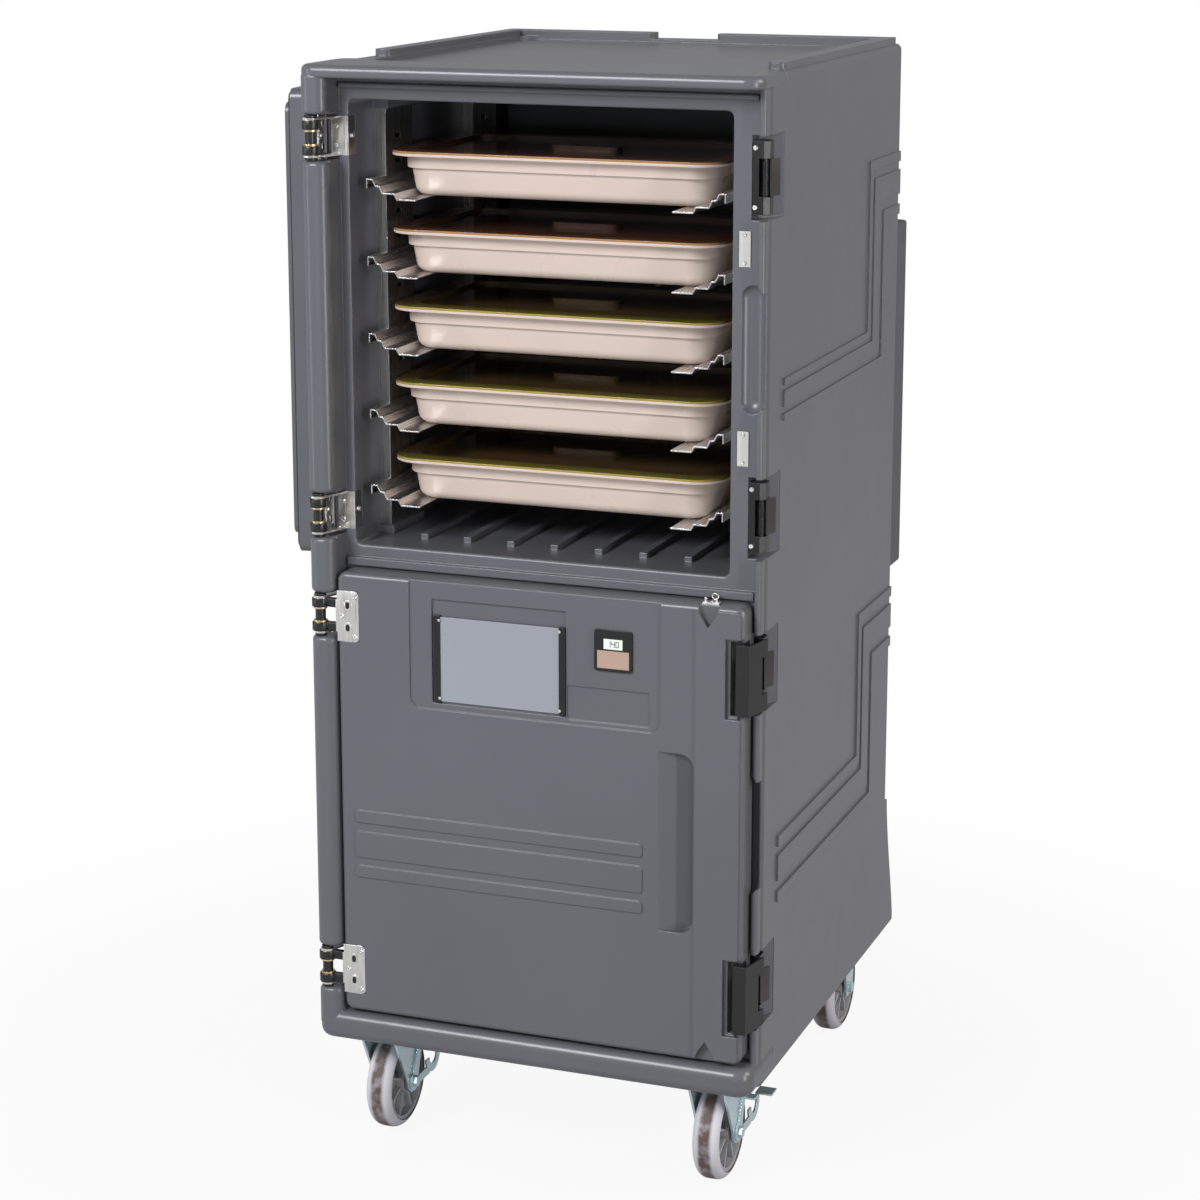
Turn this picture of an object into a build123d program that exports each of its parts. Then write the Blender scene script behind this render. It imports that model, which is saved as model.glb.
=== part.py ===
from build123d import *
import os
from math import cos, radians, sin

# Sizes in mm: x to the right, y to the back, z up, floor at zero, y = 0 half way along the moulded body.
cabinet_width = 711.0
cabinet_depth = 772.0
cabinet_height = 1690.0
caster_headroom = 26.0
bumper_height = 46.0
brow_height = 19.0
rim_height = 10.0
door_recess = 55.0
left_setback = 23.5
band_rise = 3.0
frame_bead = 16.0
flare_depth = 51.0

# Compartments.
cavity_width = 596.0
back_wall = 60.0
sill_lap = 16.0
head_lap = 14.0
corner_radius = 10.0
rib_pitch = 71.0
rib_height = 8.0
boss_height = 20.0
foot_height = 12.0

# Doors and their hinges.
pin_inset_x = 17.5
pin_inset_y = 11.0
door_gap = 29.0
door_width = 647.0
door_thickness = 44.0
door_lead = 3.0
door_edge = 8.0
door_foot_gap = 5.0
door_head_gap = 20.0
door_spacing = 18.0
door_open_angle = 262.0
hinge_inset = 68.0
hinge_gap = 68.0
pin_radius = 5.0
knuckle_radius = 13.0
bore_clearance = 0.06
gasket_width = 8.0

# Latches at the right corner.
latch_inset = 106.0
latch_height = 106.0
strike_spacing = 101.0

# Pan rails, pans and lids.
rail_levels = 5
first_rail_z = 88.0
top_rail_room = 120.0
rail_sheet = 2.0
rail_front = 22.0
rail_back = 71.0
upright_front = 94.0
upright_back = 228.0
upright_depth = 17.0
upright_width = 98.0
slot_pitch = 38.1
pan_length = 530.0
pan_width = 325.0
pan_height = 65.0
pan_wall = 3.0
pan_front = 46.0

# Heater module.
module_depth = 74.0
module_width = 676.0
module_drop = 147.0
module_height = 578.0
fan_rise = 335.0
fan_radius = 80.0
terminal_clearance = 0.2

# Casters.
wheel_radius = 76.0
wheel_width = 44.0
tread_crown = 16.0
caster_inset = 83.5
front_wheel_inset = 113.0
rear_wheel_inset = 31.0
caster_trail = 36.0
lever_sheet = 3.0
lever_gap = 0.5
axle_radius = 5.0
pad_depth = 12.0

base_height = 2 * wheel_radius + caster_headroom
bumper_z = base_height + bumper_height
brow_z = cabinet_height - brow_height
door_height = (brow_z - door_head_gap - bumper_z - door_foot_gap - door_spacing) / 2
lower_door_z = bumper_z + door_foot_gap + door_height / 2
upper_door_z = lower_door_z + door_height + door_spacing
lower_floor = lower_door_z - door_height / 2 + sill_lap
upper_floor = upper_door_z - door_height / 2 + sill_lap
cavity_height = door_height - sill_lap - head_lap
hinge_offset = door_height / 2 - hinge_inset
latch_offset = door_height / 2 - latch_inset
strike_offset = latch_offset - strike_spacing
rail_pitch = (cavity_height - first_rail_z - top_rail_room) / (rail_levels - 1)
module_low = upper_floor - module_drop
module_high = module_low + module_height
fan_z = upper_floor + fan_rise
half_width = cabinet_width / 2
front_y = -cabinet_depth / 2
rear_y = cabinet_depth / 2
caster_x = half_width - caster_inset
front_wheel_y = front_y + front_wheel_inset
front_swivel_y = front_wheel_y - caster_trail
rear_wheel_y = rear_y - rear_wheel_inset
face_y = front_y + door_recess
left_x = -half_width + left_setback
right_x = half_width - band_rise
cavity_x = cavity_width / 2
cavity_back = rear_y - back_wall
rail_length = cavity_back - rail_back - face_y - rail_front
cavity_floors = (lower_floor, upper_floor)
pin_x = -half_width + pin_inset_x
pin_y = front_y + pin_inset_y
door_left = pin_x + door_gap
door_right = door_left + door_width
door_front = pin_y - door_lead
door_back = door_front + door_thickness
door_centres = (lower_door_z, upper_door_z)
hinge_levels = [c + s * hinge_offset for c in door_centres for s in (-1, 1)]
latch_levels = [c + s * latch_offset for c in door_centres for s in (-1, 1)]
plate_z = base_height + pad_depth
terminal_z = fan_z - (fan_radius + 20) * cos(0.15)
nodes = {}


def block(x0, x1, y0, y1, z0, z1):
    return Pos((x0 + x1) / 2, (y0 + y1) / 2, (z0 + z1) / 2) * Box(x1 - x0, y1 - y0, z1 - z0)


def plan_block(x0, x1, y0, y1, z0, z1, radius):
    outline = Pos((x0 + x1) / 2, (y0 + y1) / 2, z0) * RectangleRounded(x1 - x0, y1 - y0, radius)
    return extrude(outline, z1 - z0)


def front_block(x0, x1, y0, y1, z0, z1, radius):
    plane = Plane(origin=((x0 + x1) / 2, y0, (z0 + z1) / 2), x_dir=(1, 0, 0), z_dir=(0, -1, 0))
    return extrude(plane * RectangleRounded(x1 - x0, z1 - z0, radius), y0 - y1)


def plan_prism(points, z0, z1):
    return extrude(Pos(0, 0, z0) * make_face(Polyline(*points, close=True)), z1 - z0)


def side_prism(points, x0, x1):
    return extrude(Plane.YZ.offset(x0) * make_face(Polyline(*points, close=True)), x1 - x0)


def rod_z(x, y, z0, z1, radius):
    return Pos(x, y, (z0 + z1) / 2) * Cylinder(radius, z1 - z0)


def rod_x(x0, x1, y, z, radius):
    return Pos((x0 + x1) / 2, y, z) * Rot(0, 90, 0) * Cylinder(radius, x1 - x0)


def rod_y(x, y0, y1, z, radius):
    return Pos(x, (y0 + y1) / 2, z) * Rot(90, 0, 0) * Cylinder(radius, y1 - y0)


def group(solids):
    return Compound(list(solids))


# Moulded body: main box, brow, bumper and the column that carries the hinges.
def make_shell():
    box = plan_block(left_x, right_x, face_y, rear_y, base_height, cabinet_height, 14)
    box = fillet(box.edges().group_by(Axis.Z)[-1], 10)
    brow = plan_block(-half_width, half_width, front_y, front_y + 150, brow_z, cabinet_height, 26)
    brow = fillet(brow.edges().group_by(Axis.Z)[-1], 0.5 * brow_height)
    brow = fillet(brow.edges().group_by(Axis.Z)[0], 0.26 * brow_height)
    bumper = plan_block(-half_width, half_width, front_y, front_y + 150, base_height, bumper_z, 26)
    bumper = fillet(bumper.edges().group_by(Axis.Z)[-1] + bumper.edges().group_by(Axis.Z)[0], 16)
    column_right = door_left - 3
    column_back = pin_y + door_gap - 1
    stops = [base_height + 20]
    for level in hinge_levels:
        stops += [level - hinge_gap / 2, level + hinge_gap / 2]
    stops.append(brow_z + 7)
    column = block(column_right - 18, column_right, front_y + 20, face_y + 10, stops[0], stops[-1])
    for level in hinge_levels:
        column -= block(column_right - 20, column_right + 1, front_y - 1, face_y, level - hinge_gap / 2,
                        level + hinge_gap / 2)
    for z0, z1 in zip(stops[::2], stops[1::2]):
        post = plan_block(-half_width + 2, column_right, front_y, column_back, z0, z1, 18)
        column += fillet(post.edges().group_by(Axis.Z)[0] + post.edges().group_by(Axis.Z)[-1], 7)
    curve = Spline((rear_y, base_height + 234), (rear_y + 0.3 * flare_depth, base_height + 150),
                   (rear_y + 0.78 * flare_depth, base_height + 62), (rear_y + flare_depth, base_height + 14))
    edges = Polyline((rear_y + flare_depth, base_height + 14), (rear_y + flare_depth, base_height),
                     (rear_y - 60, base_height), (rear_y - 60, base_height + 234),
                     (rear_y, base_height + 234))
    flare = extrude(Plane.YZ.offset(left_x) * make_face(curve + edges), right_x - left_x)
    return box + brow + bumper + column + flare


# Compartments, with ribs on their floors and bosses that hold the uprights.
def add_compartments(shell):
    for floor in cavity_floors:
        shell -= front_block(-cavity_x, cavity_x, face_y - 20, cavity_back, floor, floor + cavity_height,
                             corner_radius)
    rims = [e for e in shell.edges()
            if abs(e.center().Y - face_y) < 0.1 and abs(e.center().X) < cavity_x + 0.5
            and any(f - 0.5 < e.center().Z < f + cavity_height + 0.5 for f in cavity_floors)]
    shell = fillet(rims, 4)
    for floor in cavity_floors:
        for k in range(-3, 4):
            shell += block(k * rib_pitch - 6, k * rib_pitch + 6, face_y + 66, cavity_back - 20, floor - 1,
                           floor + rib_height)
        for side in (-1, 1):
            for y in upright_places():
                inner = side * (cavity_x - upright_depth - 8)
                outer = side * (cavity_x + 1)
                for z0, z1 in ((floor - 1, floor + foot_height),
                               (floor + cavity_height - boss_height, floor + cavity_height + 1)):
                    shell += block(min(inner, outer), max(inner, outer), y - 8, y + upright_width + 8, z0, z1)
    return shell


def upright_places():
    return (face_y + upright_front, cavity_back - upright_back)


# Raised bands on the right side: along, up, then along to the back edge.
def side_band(low, high, left, right, top_low, top_high):
    start = face_y + 76
    run = block(right_x - 2, half_width, start, right, low, high)
    run += block(right_x - 2, half_width, left, right, low, top_high)
    run += block(right_x - 2, half_width, left, rear_y - 12, top_low, top_high)
    return run


def add_outside(shell):
    upper = upper_door_z - 52
    lower = lower_door_z - 28
    for base, step, shift, drop in ((upper, 62, 193, 0), (lower, 104, 175, 0)):
        rise = 270 if base == upper else 238
        for a, b in ((0.0, 0.16), (0.29, 0.68), (0.84, 1.0)):
            shell += side_band(base - b * step, base - a * step, shift + a * 98, shift + b * 98,
                               base + rise - b * 102, base + rise - a * 102)
    shell += block(door_left, door_right, face_y - 8, face_y + 2, lower_door_z + door_height / 2 + 3,
                   upper_door_z - door_height / 2 - 3)
    shell += plan_block(door_right + 3, right_x - 1, face_y - frame_bead, face_y + 6, base_height + 20,
                        brow_z + 6, 5)
    head = block(door_left, door_right, face_y - 9, face_y + 2, upper_door_z + door_height / 2 + 3,
                 brow_z - 9)
    shell += fillet(head.edges().filter_by(Axis.X).group_by(Axis.Y)[0], 3)
    deck = plan_block(left_x + 40, right_x - 40, face_y + 60, rear_y - 40, cabinet_height - 6,
                      cabinet_height + 5, 30)
    shell -= deck
    rim_top = cabinet_height + rim_height
    for x0, x1, y0, y1 in ((left_x + 8, left_x + 34, face_y + 150, rear_y - 12),
                           (right_x - 34, right_x - 8, face_y + 90, rear_y - 12),
                           (left_x + 8, -60, rear_y - 40, rear_y - 12),
                           (48, right_x - 8, rear_y - 40, rear_y - 12)):
        shell += plan_block(x0, x1, y0, y1, cabinet_height - 8, rim_top, 8)
    return shell


# Pockets for catches, fingers, brackets, strikes, caster pads and the heater.
def cut_pockets(shell):
    inner = door_right - 12
    for level in latch_levels:
        front = face_y - frame_bead - 14
        shell -= plan_prism([(inner, front), (half_width + 5, front), (half_width + 5, face_y + 69),
                             (right_x - 1, face_y + 69), (inner + 6, face_y + 36), (inner, face_y + 30)],
                            level - 60, level + 60)
    for centre in door_centres:
        reach = strike_offset - 69
        scoop = rod_z(door_right - 7, face_y - 9, centre - reach, centre + reach, 20)
        for end in (-reach, reach):
            scoop += Pos(door_right - 7, face_y - 9, centre + end) * Sphere(20)
        shell -= scoop
        shell -= block(door_right, half_width + 5, face_y - frame_bead - 14, face_y, centre - reach - 8,
                       centre + reach + 8)
        for side in (-1, 1):
            mid = centre + side * strike_offset
            shell -= block(strike_left, strike_left + 17, face_y - 8, face_y + 1.5, mid - 25.5, mid + 25.5)
    for level in hinge_levels:
        shell -= block(bracket_left, -cavity_x + 1, face_y - 1, face_y + 3, level - 29, level + 29)
        shell -= block(-cavity_x - 3, -cavity_x + 1, face_y - 1, face_y + 26, level - 29, level + 29)
    for x in (-caster_x, caster_x):
        for y in (front_swivel_y, rear_wheel_y):
            shell -= plan_block(x - 54, x + 54, y - 62, y + 62, base_height - 5, plate_z, 8)
    shell -= rod_y(0, cavity_back - 20, rear_y + 20, fan_z, 62)
    for x in (-15, 15):
        shell -= rod_y(x, cavity_back - 20, rear_y + 20, terminal_z, 4 + terminal_clearance)
    return shell


strike_left = door_right - 29
bracket_left = pin_x + 12.5
shell = make_shell()
shell = add_compartments(shell)
shell = add_outside(shell)
nodes["cabinet_body"] = cut_pockets(shell)


# Slotted uprights and stepped rails on both walls of both compartments.
def make_upright(floor):
    web = -cavity_x + upright_depth
    y0 = upright_places()[0]
    z0 = floor + foot_height
    z1 = floor + cavity_height - boss_height
    sheet = block(web - rail_sheet, web, y0, y0 + upright_width, z0, z1)
    for y in (y0, y0 + upright_width - rail_sheet):
        sheet += block(-cavity_x, web, y, y + rail_sheet, z0, z1)
    count = int((cavity_height - 60) / slot_pitch)
    for k in range(count):
        z = floor + 36 + k * slot_pitch
        sheet -= block(web - 2 * rail_sheet, web + 1, y0 + 36, y0 + 54, z - 3, z + 3)
    return sheet


def make_rail():
    u = -cavity_x + upright_depth + rail_sheet / 2
    steps = [(0, -13), (0, 0), (9, 0), (14, -9.7), (20, -10.3), (25, -20.3), (44, -20.3), (49, -28.5),
             (80, -28.5)]
    line = Polyline(*[(u + a, b) for a, b in steps])
    plane = Plane(origin=(0, face_y + rail_front, 0), x_dir=(1, 0, 0), z_dir=(0, -1, 0))
    return extrude(plane * trace(line, rail_sheet), -rail_length)


rail_heights = [f + first_rail_z + k * rail_pitch for f in cavity_floors for k in range(rail_levels)]
uprights = []
for floor in cavity_floors:
    left_upright = make_upright(floor)
    step_back = upright_places()[1] - upright_places()[0]
    for y in (0, step_back):
        uprights.append(Pos(0, y, 0) * left_upright)
        uprights.append(mirror(Pos(0, y, 0) * left_upright, Plane.YZ))
nodes["uprights"] = group(uprights)
rail = make_rail()
nodes["rails_left"] = group([Pos(0, 0, z) * rail for z in rail_heights])
right_rail = mirror(rail, Plane.YZ)
nodes["rails_right"] = group([Pos(0, 0, z) * right_rail for z in rail_heights])


# Hinge brackets bent from sheet: two ears on the pin, a plate on the jamb and a return in the opening.
def make_bracket(level):
    bracket = block(bracket_left, -cavity_x, face_y, face_y + 3, level - 29, level + 29)
    bracket += block(-cavity_x - 3, -cavity_x, face_y, face_y + 24, level - 29, level + 29)
    outline = [(pin_x - 11, pin_y), (pin_x - 8, pin_y - 8), (pin_x, pin_y - 11), (pin_x + 9, pin_y - 7),
               (pin_x + 24, pin_y + 30), (pin_x + 26, face_y + 3), (bracket_left, face_y + 3),
               (bracket_left, face_y), (pin_x + 7, pin_y + 23), (pin_x - 10, pin_y + 7)]
    for z in (level - 29, level + 26):
        bracket += plan_prism(outline, z, z + 3)
    return bracket - rod_z(pin_x, pin_y, level - 40, level + 40, pin_radius + bore_clearance)


def make_pin(level):
    pin = rod_z(pin_x, pin_y, level - 29, level + 29, pin_radius)
    for z in (level - 33, level + 29):
        pin += rod_z(pin_x, pin_y, z, z + 4, pin_radius + 4)
    return pin


nodes["hinge_brackets"] = group([make_bracket(z) for z in hinge_levels])
nodes["hinge_pins"] = group([make_pin(z) for z in hinge_levels])


# Catches in the corner pockets, each with a cross bar and a guide tongue.
def make_catch(level):
    x = door_right - 12
    y = face_y
    half = latch_height / 2 - 1
    body = plan_prism([(x, y + 1), (x + 17, y + 1), (x + 25, y + 7), (x + 25, y + 23), (x + 16, y + 31),
                       (x + 6, y + 36), (x, y + 30)], level - half, level + half)
    body -= block(x + 10, x + 40, y - 5, y + 16, level - 27, level + 27)
    body += rod_z(x + 17, y + 9, level - 28, level + 28, 3.5)
    tongue = plan_prism([(x + 21, y + 15), (x + 24, y + 11), (x + 31, y + 34), (x + 28, y + 35)],
                        level - 26, level + 26)
    return body + tongue


nodes["catches"] = group([make_catch(z) for z in latch_levels])
strikes = []
screws = []
for centre in door_centres:
    for side in (-1, 1):
        mid = centre + side * strike_offset
        strikes.append(block(strike_left, strike_left + 17, face_y - 1.5, face_y + 1.5, mid - 25.5,
                             mid + 25.5))
        for z in (mid - 20, mid + 20):
            screws.append(rod_y(strike_left + 8.5, face_y - 2.2, face_y - 1.5, z, 2.6))
nodes["strike_plates"] = group(strikes)
for level in latch_levels:
    for z in (level - 42, level + 42):
        screws.append(rod_y(door_right - 7, face_y - 1, face_y + 1, z, 3.2))
for level in hinge_levels:
    for z in (level - 14, level + 14):
        screws.append(rod_y(bracket_left + 7, face_y - 2, face_y, z, 3.5))
    screws.append(rod_x(-cavity_x, -cavity_x + 2.5, face_y + 14, level, 4))
for x in (-caster_x, caster_x):
    for y in (front_swivel_y, rear_wheel_y):
        for dx in (-41, 41):
            for dy in (-49, 49):
                screws.append(rod_z(x + dx, y + dy, plate_z - 9, plate_z - 5, 6))
nodes["mount_screws"] = group(screws)


# Heater module on the back of the upper compartment.
module_x = (left_x + right_x) / 2
module_left = module_x - module_width / 2
module_right = module_x + module_width / 2
module_back = rear_y + module_depth
housing = plan_block(module_left, module_right, rear_y - 20, module_back, module_low, module_high, 14)
housing = fillet(housing.faces().sort_by(Axis.Y)[-1].edges(), 4)
housing -= block(module_left - 1, module_right + 1, rear_y - 30, rear_y, module_low - 1, module_high + 1)
housing -= plan_block(module_left + 3, module_right - 3, rear_y - 20, module_back - 3, module_low + 3,
                      module_high - 3, 11)
for k in range(9):
    z = module_low + 60 + 16 * k
    housing -= front_block(-150, 60, module_back - 10, module_back + 5, z - 3.5, z + 3.5, 3)
switch_x = 150.0
switch_z = module_low + 200
inlet_x = 230.0
for x in (switch_x - 14, switch_x + 11):
    housing += block(x, x + 3, module_back - 18, module_back - 2, switch_z - 16, switch_z + 16)
housing -= block(switch_x - 11, switch_x + 11, module_back - 10, module_back + 5, switch_z - 16,
                 switch_z + 16)
housing -= rod_x(switch_x - 20, switch_x + 20, module_back - 6, switch_z, 2 + bore_clearance)
housing -= block(inlet_x - 14, inlet_x + 14, module_back - 10, module_back + 5, switch_z - 12, switch_z + 12)
nodes["heater_housing"] = housing
display = front_block(130, 250, module_back, module_back + 5, switch_z + 90, switch_z + 150, 6)
display -= front_block(142, 238, module_back + 3.5, module_back + 9, switch_z + 102, switch_z + 138, 3)
nodes["control_display"] = display
inlet = front_block(inlet_x - 25, inlet_x + 25, module_back, module_back + 3, switch_z - 17, switch_z + 17, 4)
inlet += block(inlet_x - 13.5, inlet_x + 13.5, module_back - 24, module_back, switch_z - 11.5,
               switch_z + 11.5)
inlet -= block(inlet_x - 11.5, inlet_x + 11.5, module_back - 20, module_back + 5, switch_z - 9, switch_z + 9)
for dx, dz in ((-7, -2), (0, 3), (7, -2)):
    inlet += block(inlet_x + dx - 1, inlet_x + dx + 1, module_back - 21, module_back - 4, switch_z + dz - 2,
                   switch_z + dz + 2)
nodes["power_inlet"] = inlet
rocker = rod_x(switch_x - 9.5, switch_x + 9.5, module_back - 6, switch_z, 9)
rocker += side_prism([(module_back - 6, switch_z - 4), (module_back + 1, switch_z - 14),
                      (module_back + 3, switch_z - 14), (module_back + 2, switch_z),
                      (module_back + 6, switch_z + 13), (module_back + 4, switch_z + 14),
                      (module_back - 6, switch_z + 4)], switch_x - 9.5, switch_x + 9.5)
rocker += rod_x(switch_x - 13.5, switch_x + 13.5, module_back - 6, switch_z, 2)
nodes["power_switch"] = rocker
baffle_y = cavity_back - 58
baffle_low = upper_floor + 20
baffle_high = upper_floor + cavity_height - 40
baffle = block(-cavity_x + 8, cavity_x - 8, baffle_y, baffle_y + 2, baffle_low, baffle_high)
for side in (-1, 1):
    edge = side * (cavity_x - 8)
    baffle += block(min(edge, edge - 2 * side), max(edge, edge - 2 * side), baffle_y, cavity_back, baffle_low,
                    baffle_high)
    for k in range(7):
        z = baffle_low + 70 + (baffle_high - baffle_low - 144) / 6 * k
        mid = side * (cavity_x - 60)
        baffle -= front_block(mid - 26, mid + 26, baffle_y - 5, baffle_y + 5, z - 5, z + 5, 4)
for ring, count in ((26, 6), (52, 12)):
    for k in range(count):
        turn = radians(360 * k / count)
        baffle -= rod_y(ring * cos(turn), baffle_y - 5, baffle_y + 5, fan_z + ring * sin(turn), 9)
nodes["air_baffle"] = baffle
motor = rod_y(0, rear_y - 30, rear_y + 44, fan_z, 46) + rod_y(0, rear_y, rear_y + 4, fan_z, 76)
motor -= rod_y(0, rear_y - 40, rear_y + 10, fan_z, 4.06)
nodes["fan_motor"] = motor
fan = rod_y(0, cavity_back - 14, cavity_back - 11, fan_z, fan_radius)
fan += (rod_y(0, cavity_back - 44, cavity_back - 11, fan_z, 12)
        + rod_y(0, cavity_back - 11, rear_y - 2, fan_z, 4))
for k in range(12):
    blade = Pos(fan_radius * 0.66, cavity_back - 29, 0) * Rot(0, 25, 0) * Box(34, 32, 2)
    fan += Pos(0, 0, fan_z) * Rot(0, 30 * k, 0) * blade
nodes["fan_wheel"] = fan
element = Pos(0, cavity_back - 30, fan_z) * Rot(90, 0, 0) * Torus(fan_radius + 20, 4)
for x in (-15, 15):
    element += rod_y(x, cavity_back - 30, rear_y + 14, terminal_z, 4)
nodes["heating_element"] = element


# Doors, drawn closed: x runs from the hinge edge to the latch edge.
def make_door(centre, has_card):
    low = centre - door_height / 2
    high = centre + door_height / 2
    panel = front_block(door_left, door_right, door_front, door_back, low, high, 14)
    panel = fillet(panel.faces().sort_by(Axis.Y)[0].edges(), door_edge)
    panel += front_block(door_right - 74, door_right - 5, door_front - 3, door_front + 5, low + 6,
                         high - 6, 4)
    for z0, z1 in ((centre - 130, centre - 111), (centre - 98, centre - 56), (centre - 42, centre - 22)):
        panel += front_block(door_left + 24, door_right - 155, door_front - 2, door_front + 5, z0, z1, 5)
    floor = centre - lower_door_z + lower_floor
    plug = front_block(-cavity_x + 8, cavity_x - 8, door_back - 5, door_back + 14, floor + 8,
                       floor + cavity_height - 8, 14)
    panel += plug
    panel -= front_block(door_left + 119, door_right - 128, door_front - 5, door_front + 2.5, high - 200,
                         high + 60, 18)
    wedge = plan_prism([(door_right - 140, door_front - 4), (door_right - 76, door_front + 26),
                        (door_right - 76, door_front - 4)], centre - 160, centre + 130)
    panel -= wedge & front_block(door_right - 148, door_right - 76, door_front - 5, door_front + 30,
                                 centre - 153, centre + 124, 22)
    for sign in (-1, 1):
        shield = [(-16, 0), (16, 0), (13, -14), (0, -33), (-13, -14)]
        plane = Plane(origin=(door_right - 55, door_front - 6, centre + sign * (door_height / 2 + 1)),
                      x_dir=(1, 0, 0), z_dir=(0, -1, 0))
        face = make_face(Polyline(*[(a, sign * b) for a, b in shield], close=True))
        panel -= extrude(plane * face, -14)
        level = centre + sign * latch_offset
        panel -= block(door_right - 22, door_right + 5, door_front - 8, door_front + 26, level - 56,
                       level + 56)
        panel -= block(door_right - 28, door_right + 5, door_front - 8, door_front + 4, level - 60,
                       level + 60)
        panel -= rod_z(door_right - 9, door_front + 6, level - 63, level + 63, 2.5)
        hinge = centre + sign * hinge_offset
        panel -= block(door_left - 1, door_left + 36, door_front - 1, door_front + 2, hinge - 39.5,
                       hinge + 39.5)
    groove = gasket_ring(centre, door_back - 5, door_back + 1)
    panel -= groove
    if has_card:
        panel -= front_block(card_left - 8, card_left + 207, door_front - 5, door_front + 6, card_low - 4,
                             card_low + 157, 1.5)
        panel -= front_block(card_left + 209, card_left + 339, door_front - 5, door_front + 4.5, card_low - 7,
                             card_low + 45, 3)
        panel -= block(thermo_x - 27.5, thermo_x + 27.5, door_front - 5, door_front + 11, thermo_z - 29.5,
                       thermo_z + 29.5)
    return panel


def gasket_ring(centre, y0, y1):
    floor = centre - lower_door_z + lower_floor
    inner = (-cavity_x - 1, cavity_x + 2, floor - 1, floor + cavity_height + 1)
    outer = [inner[0] - gasket_width, inner[1] + gasket_width, inner[2] - gasket_width,
             inner[3] + gasket_width]
    ring = front_block(outer[0], outer[1], y0, y1, outer[2], outer[3], 12)
    return ring - front_block(inner[0], inner[1], y0 - 1, y1 + 1, inner[2], inner[3], 6)


# Door leaf of a hinge: two knuckles and a sleeve on the pin, arms, and the plate on the door.
def make_leaf(level):
    leaf = rod_z(pin_x, pin_y, level - 25.5, level + 25.5, 8)
    for z0, z1 in ((9, 12), (-12, -9)):
        leaf += rod_z(pin_x, pin_y, level + z0, level + z1, 10.5)
    for z0, z1 in ((12, 25.5), (-25.5, -12)):
        leaf += rod_z(pin_x, pin_y, level + z0, level + z1, knuckle_radius)
        leaf += block(pin_x, door_left, door_front, door_front + 10, level + z0, level + z1)
    leaf += block(door_left - 3, door_left, door_front - 1, door_front + 2, level - 25.5, level + 25.5)
    leaf += block(door_left, door_left + 36, door_front - 1, door_front + 2, level - 39.5, level + 39.5)
    return leaf - rod_z(pin_x, pin_y, level - 40, level + 40, pin_radius + bore_clearance)


# Latch plate on trunnions in the door edge: it wraps the corner and is notched for the catch tongue.
def make_latch(level):
    x = door_right - 9
    y = door_front + 6
    half = latch_height / 2
    plate = rod_z(x, y, level - half + 1, level + half - 1, 4.5)
    plate += rod_z(x, y, level - 61, level + 61, 2.44)
    front = door_front - 5.5
    plate += block(x - 2, x + 2, front, y, level - half + 3, level + half - 3)
    plate += plan_prism([(x - 2, front), (x + 18, front), (x + 29.5, face_y + 1), (x + 26.5, face_y + 1),
                         (x + 15.4, front + 3), (x - 2, front + 3)], level - half, level + half)
    return plate - block(x + 12, x + 40, face_y - 15, face_y + 5, level - 28, level + 28)


card_left = -146.0
card_low = lower_door_z + door_height / 2 - 186
thermo_x = 136.5
thermo_z = lower_door_z + door_height / 2 - 81
folded = Pos(pin_x, pin_y, 0) * Rot(0, 0, -door_open_angle) * Pos(-pin_x, -pin_y, 0)
for name, centre, place in (("lower", lower_door_z, Pos(0, 0, 0)), ("upper", upper_door_z, folded)):
    nodes[name + "_door_panel"] = place * make_door(centre, name == "lower")
    nodes[name + "_door_gasket"] = place * gasket_ring(centre, door_back - 5, face_y - 0.3)
    leaves = [place * make_leaf(centre + s * hinge_offset) for s in (-1, 1)]
    nodes[name + "_door_leaves"] = group(leaves)
    nodes[name + "_latch_bottom"] = place * make_latch(centre - latch_offset)
    nodes[name + "_latch_top"] = place * make_latch(centre + latch_offset)

# Card holder, thermometer and sealing clip of the lower door.
card = block(card_left, card_left + 203, door_front + 1.5, door_front + 3.5, card_low, card_low + 131)
channels = []
for x in (card_left - 4, card_left + 197):
    strip = block(x, x + 10, door_front - 0.5, door_front + 6, card_low - 2, card_low + 133)
    channels.append(strip - card)
nodes["card_panel"] = card
nodes["card_channels"] = group(channels)
case = front_block(thermo_x - 29.5, thermo_x + 29.5, door_front - 1, door_front + 2.5, thermo_z - 31.5,
                   thermo_z + 31.5, 5)
case += block(thermo_x - 27, thermo_x + 27, door_front + 2.5, door_front + 11, thermo_z - 29, thermo_z + 29)
screen = block(thermo_x - 15, thermo_x + 15, door_front - 0.5, door_front + 0.5, thermo_z + 2, thermo_z + 18)
label = block(thermo_x - 25, thermo_x + 25, door_front - 0.5, door_front + 0.5, thermo_z - 27, thermo_z)
for field in (screen, label):
    case -= Pos(0, -1, 0) * field
    case -= field
nodes["thermometer_case"] = case
nodes["thermometer_display"] = group([screen, label])
clip_z = lower_door_z + door_height / 2
clip = block(door_right - 68, door_right - 42, door_front + 9, door_front + 21, clip_z, clip_z + 3)
for x in (door_right - 65, door_right - 48):
    clip += block(x, x + 3, door_front + 11, door_front + 14, clip_z + 3, clip_z + 10)
nodes["seal_clip"] = clip


# Pans with a stepped side, resting on the lowest step of the rails, and their lids.
def tapered(length, width, z0, z1, spread, radius):
    angle = -spread
    return extrude(Pos(0, 0, z0) * RectangleRounded(length, width, radius), z1 - z0, taper=angle)


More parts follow.
